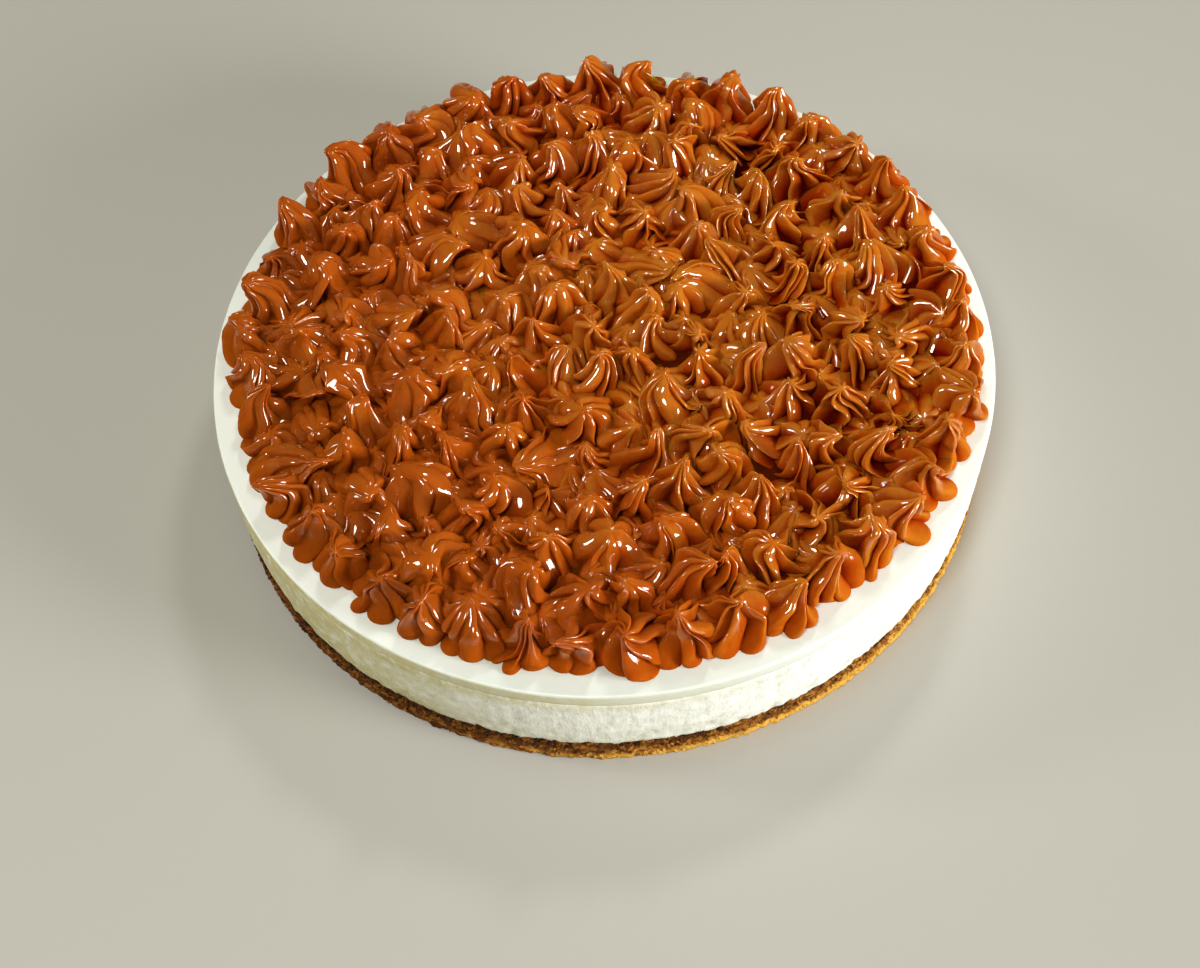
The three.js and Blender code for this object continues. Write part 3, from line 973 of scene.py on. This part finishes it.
def make_star_tree(material):
    tree = GeometryTree("piped stars", STAR_SIZES)
    size = tree.size
    ribs = size["Ribs"]
    across = size["Points across a rib"]
    columns = ribs * across

    grid = tree.node("GeometryNodeMeshGrid", {}, {
        "Size X": 1.0, "Size Y": 1.0, "Vertices X": columns + 1,
        "Vertices Y": size["Points up a rib"]}, "Mesh")
    sheet = tree.store(grid, "cell", tree.position() + (0.5, 0.5, 0.0), "FLOAT_VECTOR")
    places = tree.store(tree.carrier, "middle", tree.position(), "FLOAT_VECTOR")
    copies = tree.node("GeometryNodeInstanceOnPoints", {},
                       {"Points": places, "Instance": sheet}, "Instances")
    mesh = tree.node("GeometryNodeRealizeInstances", {}, {"Geometry": copies})

    cell = tree.attribute("cell", "FLOAT_VECTOR")
    share_round = tree.node("ShaderNodeSeparateXYZ", {}, {"Vector": cell}, "X")
    level = share_round.beside("Y")
    column = tree.math("ROUND", share_round * columns, 0.0) % columns
    rib = tree.math("FLOOR", (column + 0.5) / across, 0.0)
    offset = (column / across - rib) * 2 - 1
    side = 1 - (1 - tree.math("ABSOLUTE", offset, 0.0)) ** 1.25
    signed_side = side * tree.math("SIGN", offset, 0.0)

    star = tree.attribute("star")
    soft = tree.attribute("soft")
    seed = size["Seed"]
    this_rib = star * MOST_RIBS + rib
    next_rib = star * MOST_RIBS + (rib + 1) % ribs

    def rib_draw(low, high, which, number=this_rib):
        return tree.random(low, high, number, seed * DRAWS_PER_SEED + which)

    def star_draw(low, high, which):
        return tree.random(low, high, star, seed * DRAWS_PER_SEED + which)

    out = tree.node("ShaderNodeFloatCurve", {"curve": RIB_OUT}, {"Value": level})
    up = tree.node("ShaderNodeFloatCurve", {"curve": RIB_UP}, {"Value": level})
    mid_height = tree.math("SINE", up * math.pi, 0.0)

    cleft = tree.attribute("cleft")
    dome = tree.attribute("dome")
    sharpness = 2.4 - (1 - soft) * 1.2 * tree.clamp(up * 2.5 + cleft * 3)
    valley = side ** sharpness
    depth_share = tree.node("ShaderNodeFloatCurve", {"curve": FURROW_DEPTH}, {"Value": up})
    depth_share = depth_share + cleft * tree.clamp(1 - up * 2.5)
    depth_share = depth_share * (1 - dome * 1.5 * tree.clamp(up * 2.5 - 1))
    depth = size["Furrow depth"] * (1 - soft * 0.4) * depth_share
    uneven = rib_draw(*RIB_LENGTH, 1) * tree.attribute("uneven")
    length = 1 + uneven * (1 - valley) * tree.clamp(1 - up * 1.15)
    height = tree.attribute("height")
    domed = out ** (1 - dome)
    radius = tree.attribute("foot") * domed * length * (1 - depth * valley)

    start = rib_draw(-RIB_WANDER, RIB_WANDER, 2)
    end = rib_draw(-RIB_WANDER, RIB_WANDER, 2, next_rib)
    turn = rib + start + (signed_side + 1) * 0.5 * (1 + end - start)
    curl = rib_draw(-CURL, CURL, 3) * mid_height * (1 - side * side)
    angle = (turn / ribs * 2 * math.pi + curl + star_draw(0, WHOLE_TURN, 4)
             + star_draw(-TWIST, TWIST, 5) * up ** 1.2)

    sag = rib_draw(*RIB_SAG, 6) * out * tree.clamp(up * 3) * (1 - valley)
    rise = tree.math("MAXIMUM", up + sag - 0.06 * valley * mid_height, 0.0)
    hook_angle = star_draw(0, WHOLE_TURN, 7)
    hook = HOOK * tree.clamp((up - 0.72) * 3.6) ** 2 * height
    leaning = tree.attribute("lean", "FLOAT_VECTOR") * tree.xyz(up ** 2, up ** 2, up ** 2)
    shape = tree.xyz(
        radius * tree.math("COSINE", angle, 0.0) + hook * tree.math("COSINE", hook_angle, 0.0),
        radius * tree.math("SINE", angle, 0.0) + hook * tree.math("SINE", hook_angle, 0.0),
        rise * height)
    place = tree.attribute("middle", "FLOAT_VECTOR") + shape + leaning

    half = (0.5, 0.5, 0.5)
    loose = tree.clamp(up * 3) * MM
    wide_drift = (tree.noise(place, 11 * MM, 0.0).beside("Color") - half) * WIDE_DRIFT
    small_drift = (tree.noise(place, 4 * MM, 0.0).beside("Color") - half) * SMALL_DRIFT
    drift = (wide_drift + small_drift) * tree.xyz(loose, loose, loose * 0.6)
    wandered = place + drift
    moved = tree.node("GeometryNodeSetPosition", {}, {"Geometry": mesh, "Position": wandered})
    x = tree.node("ShaderNodeSeparateXYZ", {}, {"Vector": wandered}, "X")
    y, z = x.beside("Y"), x.beside("Z")
    from_middle = tree.math("SQRT", x * x + y * y, 0.0)
    inside = tree.step(from_middle, RIM_FULL * MM, RIM_FROM * MM)
    # Points deep in a furrow and low near the bed between stars are marked for painted shade.
    sunk = tree.clamp(1 - (z - TOP_OF_CREAM) / (BURIED_BELOW * MM)) * inside
    lowness = tree.clamp(1 - up * 1.6)
    furrow = tree.clamp(valley * (0.93 - soft * 0.29 - inside * 0.16) + lowness * inside * 0.3
                        + sunk * (0.6 - soft * 0.2) - 0.1)
    marked = tree.store(moved, "furrow", furrow)
    # Crests and tips are marked for painted light, and low points for less gloss.
    marked = tree.store(marked, "crest", tree.clamp(1 - side * 3.6) * tree.clamp(up * 4))
    marked = tree.store(marked, "tip", tree.clamp(up * 4 - 3))
    marked = tree.store(marked, "low", tree.clamp(2.1 - up * 4.5 + (1 - inside) * 0.6))
    closed = tree.node("GeometryNodeMergeByDistance", {},
                       {"Geometry": marked, "Distance": 0.004 * MM})
    smooth = tree.node("GeometryNodeSetShadeSmooth", {}, {"Geometry": closed})
    tree.finish(smooth, material)
    return tree


star_tree = make_star_tree(caramel)

# %% [markdown]
# ## Broad stars
#
# Here and there the bag was held still for longer, and a soft star spread wide and low and
# drowned the ones beside it. These few stand where they are seen, and whatever star of the
# field stood within their middle makes way.

# %% Broad star places
BROAD_PLACES = (
    {"x": 13, "y": 26, "lean_x": 10, "lean_y": -5, "foot": 13.5, "height": 13},
    {"x": 32, "y": 19, "lean_x": -7, "lean_y": 1, "foot": 11, "height": 13},
    {"x": -19, "y": 19, "lean_x": 0, "lean_y": 3, "foot": 12, "height": 14},
    {"x": -39, "y": 5, "lean_x": 2, "lean_y": 1, "foot": 12, "height": 11},
    {"x": -14, "y": -44, "lean_x": -12, "lean_y": -4, "foot": 13.5, "height": 12},
    {"x": 6, "y": -38, "lean_x": 0, "lean_y": 2, "foot": 11.5, "height": 14},
    {"x": -95, "y": -40, "lean_x": 14, "lean_y": -5, "foot": 12.5, "height": 13},
)
BROAD_CLEAR = 7.5
PLAIN_SHAPE = {"dome": 0.1, "cleft": 0.1, "uneven": 0.3}
broad_stars = [{**place, **PLAIN_SHAPE, "number": number, "soft": 1.0}
               for number, place in enumerate(BROAD_PLACES)]
stars = [s for s in stars if all(math.hypot(s["x"] - b["x"], s["y"] - b["y"]) > BROAD_CLEAR
                                 for b in broad_stars)]
print(len(broad_stars), "broad stars leave", len(stars), "others")

# %% [markdown]
# ## Every star's own sizes
#
# On the left of the cake the caramel was warm when it was piped, so its stars are soft and
# round, with five or six ribs. On the right they are crisp and have up to eight. So the
# softness and the kind, a number that picks how many ribs a star gets, are worked out from the
# star's place, with some chance in both. Height, foot and dome get their own chance too, since
# no hand presses a bag twice with the same force.
#
# The rim stars end in plump lobes on the smooth layer and have seven or eight ribs. Their
# feet reach out to a line near the edge, and at the back and in one place at the left they
# are pushed farther out, over the edge of the white.

# %% Soft stars and crisp ones
KIND_SEED = 7
SOFT_FADE = 130
RIB_COUNTS = (5, 6, 7, 8)
RIM_KIND = 2
EXTRA_LEAN = 2.1
HEIGHT_SHARE = 1.04
HEIGHT_LOSS = 0.22
RIM_HEIGHT_LOSS = 0.06
TALLEST = 15.7
FOOT_PER_REACH = 1.42
LEAST_DOME = 0.05
CRISP_CLEFT = 0.35
draw_kind = make_random(KIND_SEED)


def limit(value):
    """The value, held between 0 and 1."""
    return min(1.0, max(0.0, value))


def size_star(star):
    """Softness, ribs and sizes for a star, from its place and some chance."""
    soft = limit(0.5 - star["x"] / SOFT_FADE + (draw_kind() - 0.5) * 0.5)
    kind = 0.6 + 3.4 * (1 - soft) + 1.2 * (draw_kind() - 0.5)
    if star["on_rim"]:
        kind = RIM_KIND + 2 * draw_kind()
    else:
        star["height"] *= HEIGHT_SHARE
    star["ribs"] = RIB_COUNTS[min(3, max(0, int(kind)))]
    star["lean_x"] *= EXTRA_LEAN
    star["lean_y"] *= EXTRA_LEAN
    star["height"] *= 1 - (RIM_HEIGHT_LOSS if star["on_rim"] else HEIGHT_LOSS) * draw_kind()
    star["height"] = min(TALLEST, star["height"])
    star["foot"] = star["reach"] * FOOT_PER_REACH * (0.88 + 0.34 * draw_kind())
    star["foot"] *= 0.94 + 0.06 * soft
    star["dome"] = LEAST_DOME + (0.15 + 0.25 * soft) * draw_kind()
    star["cleft"] = CRISP_CLEFT * (1 - soft)
    star["uneven"] = PLAIN_SHAPE["uneven"]
    star["soft"] = soft


# %% The rim
TIP_RADIUS = 116.2
BACK_TIP_RADIUS = 120.4
TIP_CHANCE = 1.8
LONGEST_LOBE = 1.06
BACK_SHIFT = 3.8
BACK_UPRIGHT = 0.7
FRONT_SPREAD = 1.2
BULGE_Y = 10.0
BULGE_WIDTH = 13.0
RIM_SOFTNESS = 0.45


def fit_to_rim(star):
    """Moves a rim star out where the rim is fuller, and stretches its foot to its line."""
    ring = math.hypot(star["x"], star["y"])
    back = limit((star["x"] * 0.5 + star["y"]) / ring + 0.4)
    front = max(0.0, (star["x"] * 0.25 - star["y"]) / ring)
    bulge = max(0.0, 1 - abs(star["y"] - BULGE_Y) / BULGE_WIDTH) if star["x"] < 0 else 0.0
    tip = TIP_RADIUS + (BACK_TIP_RADIUS - TIP_RADIUS) * max(back, bulge)
    tip += FRONT_SPREAD * front ** 3
    pushed_out = 1 + BACK_SHIFT * max(back, bulge) / ring
    star["x"] *= pushed_out
    star["y"] *= pushed_out
    star["foot"] = (tip - ring * pushed_out - TIP_CHANCE * draw_kind()) / LONGEST_LOBE
    star["dome"] = LEAST_DOME + 0.3 * back * draw_kind()
    star["cleft"] = 0.0
    star["uneven"] = 0.15 + 0.1 * draw_kind()
    star["lean_x"] *= 1 - BACK_UPRIGHT * back
    star["lean_y"] *= 1 - BACK_UPRIGHT * back
    star["soft"] = max(RIM_SOFTNESS, star["soft"])


for number, star in enumerate(stars):
    star["number"] = number
    size_star(star)
    if star["on_rim"]:
        fit_to_rim(star)
print("ribs:", {ribs: sum(s["ribs"] == ribs for s in stars) for ribs in RIB_COUNTS})

# %% [markdown]
# ## Growing the stars
#
# The tree grows a star on every point of a mesh, so the stars become a mesh of bare points,
# with their sizes as the points' attributes. The number of ribs shapes the grid itself, which
# is the same for all the points of one mesh. So each number of ribs gets a mesh of its own,
# and so do the broad stars, whose grid is finer.

# %% Carriers
def make_carrier(name, members):
    """One point for each star, with the star's own sizes as attributes."""
    carrier = new_object(name, [(s["x"] * MM, s["y"] * MM, TOP_OF_CREAM) for s in members], [])
    attributes = carrier.data.attributes
    columns = {key: [s[key] for s in members] for key in ("soft", "dome", "cleft", "uneven")}
    columns["star"] = [s["number"] for s in members]
    columns["foot"] = [s["foot"] * MM for s in members]
    columns["height"] = [s["height"] * MM for s in members]
    for key, values in columns.items():
        attributes.new(key, "FLOAT", "POINT").data.foreach_set("value", values)
    leans = [c for s in members for c in (s["lean_x"] * MM, s["lean_y"] * MM, 0)]
    attributes.new("lean", "FLOAT_VECTOR", "POINT").data.foreach_set("vector", leans)
    return carrier


# %% Grow the stars
BROAD_SIZES = {"Ribs": 7, "Points across a rib": 14, "Points up a rib": 28,
               "Furrow depth": 0.55, "Seed": 60}
star_pieces = []
for ribs in RIB_COUNTS:
    members = [s for s in stars if s["ribs"] == ribs]
    carrier = make_carrier("star places", members)
    star_pieces.append(grow(f"caramel_stars_{ribs}_ribs", carrier, star_tree,
                            {"Ribs": ribs, "Seed": ribs}))

star_pieces.append(grow("caramel_broad_stars", make_carrier("broad star places", broad_stars),
                        star_tree, BROAD_SIZES))

# %% [markdown]
# ## Low stars in the gaps
#
# Where two rings of stars leave a gap, the piping hand filled it with a short dab of caramel.
# A grid of test places over the cake finds the widest gap, puts a low star there, and looks
# again until no gap is wide enough. At the right some of the gaps stay open, apart from those
# near the rim, as dark hollows between crisp stars.

# %% Fill the gaps
GAP_STEP = 2.0
GAP_RADIUS = 8.3
OPEN_FROM_X = 25
OPEN_WITHIN = 85
OPEN_SHARE = 0.4
CRISP_AT_X = 60
LOW_STAR_HEIGHT = 9.0
LOW_LEAN = 3
LOW_SIZES = {"Ribs": 6, "Points across a rib": 8, "Points up a rib": 13, "Furrow depth": 0.6,
             "Seed": 40}


def find_gaps(stars, reach):
    """Places farther than the reach from every star, the widest gap first."""
    line = np.arange(-RIM_RING_RADIUS, RIM_RING_RADIUS, GAP_STEP)
    grid = np.array([(x, y) for x in line for y in line if math.hypot(x, y) < RIM_RING_RADIUS])
    clear = np.full(len(grid), np.inf)
    for star in stars:
        clear = np.minimum(clear, np.hypot(grid[:, 0] - star["x"], grid[:, 1] - star["y"]))
    gaps = []
    while clear.max() > reach:
        place = grid[clear.argmax()]
        gaps.append((float(place[0]), float(place[1])))
        clear = np.minimum(clear, np.hypot(grid[:, 0] - place[0], grid[:, 1] - place[1]))
    return gaps


low_stars = []
for x, y in find_gaps([*stars, *broad_stars], GAP_RADIUS):
    if x > OPEN_FROM_X and math.hypot(x, y) < OPEN_WITHIN and draw_kind() < OPEN_SHARE:
        continue
    crisp = limit(x / CRISP_AT_X)
    low_stars.append({
        **PLAIN_SHAPE, "x": x, "y": y, "number": len(low_stars),
        "lean_x": (draw_kind() - 0.5) * LEAN * LOW_LEAN,
        "lean_y": (draw_kind() - 0.5) * LEAN * LOW_LEAN,
        "foot": STAR_REACH * (1.3 + 0.3 * draw_kind()),
        "height": LOW_STAR_HEIGHT * (0.75 + 0.3 * draw_kind() - 0.2 * crisp),
        "soft": 0.4 + 0.6 * draw_kind(),
    })
print(len(low_stars), "low stars")
star_pieces.append(grow("caramel_low_stars", make_carrier("low star places", low_stars),
                        star_tree, LOW_SIZES))

# %% [markdown]
# ## The caramel between the stars
#
# The stars stand on a rough bed of their own caramel: what was pressed flat between two of them
# as they were piped. Little of it shows, but where it does it closes the gap with something
# dark instead of bare cream: it is painted near-black, as the shade in the hollows between
# stars. It is a thin lumpy disc, finely divided, whose edge stays hidden under the feet of the
# rim stars. All of it counts as low, so that no gloss lies on it.

# %% Caramel bed
BED_RADIUS = 107.0
BED_HEIGHT = 1.8
BED_LUMPS = 0.9
BED_EDGE = 0.96
BED_RINGS = 70
BED_SPOKES = 260


def make_bed_tree():
    tree = GeometryTree("caramel bed", {"Lumps": BED_LUMPS * MM})
    coarse = tree.noise(tree.position(), 7 * MM, 1.0) - 0.5
    fine = tree.noise(tree.position(), 2.5 * MM, 1.0) - 0.5
    lift = (coarse * 2 + fine * 0.8) * tree.size["Lumps"] * tree.attribute("bedded")
    moved = tree.node("GeometryNodeSetPosition", {}, {
        "Geometry": tree.carrier, "Offset": tree.xyz(0, 0, lift)})
    # The whole bed is marked as deepest furrow, so it takes the darkest painted shade.
    marked = tree.store(moved, "furrow", tree.clamp(1.3 - coarse * 0.3))
    marked = tree.store(marked, "low", 1.0)
    tree.finish(tree.node("GeometryNodeSetShadeSmooth", {}, {"Geometry": marked}), shaded_deep_caramel)
    return tree


def make_bed_carrier(rings, spokes):
    """A disc of rings and spokes on the smooth layer. Its edge is marked as not bedded."""
    angles = np.arange(spokes) / spokes * 2 * math.pi
    points, bedded = [(0, 0, TOP_OF_CREAM + BED_HEIGHT * MM)], [1.0]
    for ring in range(1, rings + 1):
        share = ring / rings
        edge = max(0.0, (share - BED_EDGE) / (1 - BED_EDGE))
        height = TOP_OF_CREAM + BED_HEIGHT * (1 - edge ** 2) * MM
        radius = BED_RADIUS * share * MM
        points += [(radius * math.cos(a), radius * math.sin(a), height) for a in angles]
        bedded += [1.0 - edge] * spokes
    points.append((0, 0, TOP_OF_CREAM))
    bedded.append(0.0)
    faces = [(0, 1 + i, 1 + (i + 1) % spokes) for i in range(spokes)]
    for ring in range(rings - 1):
        first = 1 + ring * spokes
        for i in range(spokes):
            j = (i + 1) % spokes
            faces.append((first + i, first + spokes + i, first + spokes + j, first + j))
    last = 1 + (rings - 1) * spokes
    faces += [(len(points) - 1, last + (i + 1) % spokes, last + i) for i in range(spokes)]
    carrier = new_object("bed carrier", points, faces)
    carrier.data.attributes.new("bedded", "FLOAT", "POINT").data.foreach_set("value", bedded)
    return carrier


star_pieces.append(grow("caramel_bed", make_bed_carrier(BED_RINGS, BED_SPOKES),
                        make_bed_tree(), {}))

# %% [markdown]
# ## Dressing the cake
#
# Every finished piece rides on the cake's one body and stands for the plain solid that it
# covers, which is hidden.

# %% Finish
DRESSED = {
    "biscuit_base": ("crumb", [base_wall, coarse_grains, fine_grains]),
    "cream_filling": ("cream", [cream_side]),
    "smooth_top_layer": ("smooth_cream", [top_layer]),
    "caramel_stars": ("caramel", star_pieces),
}
for node, (slot, pieces) in DRESSED.items():
    for piece in pieces:
        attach(piece, "root")
        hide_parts(node)
